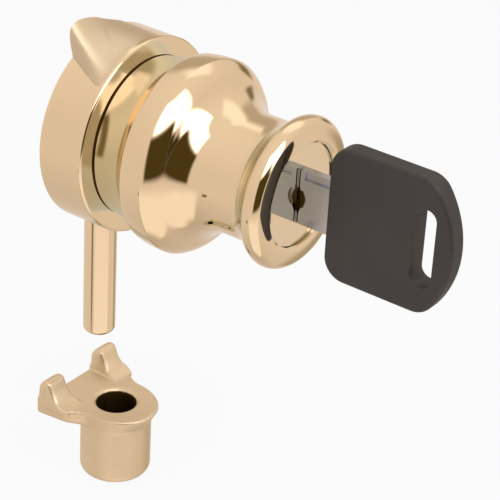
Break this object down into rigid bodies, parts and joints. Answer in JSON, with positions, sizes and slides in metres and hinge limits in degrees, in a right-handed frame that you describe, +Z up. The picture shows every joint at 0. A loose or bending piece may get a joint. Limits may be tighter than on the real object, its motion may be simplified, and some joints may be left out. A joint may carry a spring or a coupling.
{
  "type": "glass door cylinder lock",
  "caption": "Round polished brass cylinder lock for a glass door, with a turned knob, a key with a slotted black bow, a drop bolt and a floor strike.",
  "frame": {"origin": "centre of the case's round back rim, which lies on the glass, on the lock's turning axis", "axes": "-Y points out of the door towards the user along the lock axis, +Y into the glass along the spigot, +Z up, +X to the user's right"},
  "size_m": [0.039, 0.0847, 0.096],
  "materials": {
    "polished_brass": "polished",
    "plain_brass": "machined",
    "zinc_plate": "zinc plated",
    "steel": "bright",
    "nickel": "satin nickel",
    "rubber_pad": "matt",
    "black_plastic": "fine texture"
  },
  "bodies": {
    "lock_body": {"lock_case": "polished_brass", "back_plate": "zinc_plate", "glass_pad": "rubber_pad", "back_plate_screws": "steel", "knob_shell": "polished_brass", "knob_screws": "steel", "barrel": "plain_brass", "barrel_pin": "steel"},
    "key_plug": {"plug_body": "plain_brass", "plug_cap": "polished_brass", "plug_clip": "steel", "cam_plate": "steel", "cam_drive_pin": "steel", "cam_washer": "steel", "cam_screw": "steel", "wafer_springs": "steel"},
    "rising_wafers": {"upper_wafers": "plain_brass"},
    "falling_wafers": {"lower_wafers": "plain_brass"},
    "key": {"key_blade": "nickel", "key_bow": "black_plastic"},
    "bolt": {"lock_bolt": "polished_brass"},
    "strike_plug": {"strike": "polished_brass"}
  },
  "joints": [
    {"name": "plug_turn", "type": "hinge", "parent": "lock_body", "child": "key_plug", "pos_m": [0, 0, 0], "axis": [0, 1, 0], "range_deg": [0, 90]},
    {"name": "bolt_lift", "type": "slide", "parent": "lock_body", "child": "bolt", "axis": [0, 0, 1], "range_m": [0, 0.01131]},
    {"name": "key_slide", "type": "slide", "parent": "key_plug", "child": "key", "axis": [0, -1, 0], "range_m": [0, 0.027]},
    {"name": "upper_wafer_spring", "type": "slide", "parent": "key_plug", "child": "rising_wafers", "axis": [0, 0, 1], "range_m": [0, 0.0006]},
    {"name": "lower_wafer_spring", "type": "slide", "parent": "key_plug", "child": "falling_wafers", "axis": [0, 0, -1], "range_m": [0, 0.0006]},
    {"name": "strike_home", "type": "slide", "parent": "lock_body", "child": "strike_plug", "axis": [0, 0.2659, 0.964], "range_m": [0, 0.01805]}
  ],
  "couplings": [
    {"joint": "bolt_lift", "follows": "plug_turn", "m_per_rad": 0.0072025},
    {"joint": "upper_wafer_spring", "follows": "key_slide", "ratio": 0.022222},
    {"joint": "lower_wafer_spring", "follows": "key_slide", "ratio": 0.022222}
  ]
}
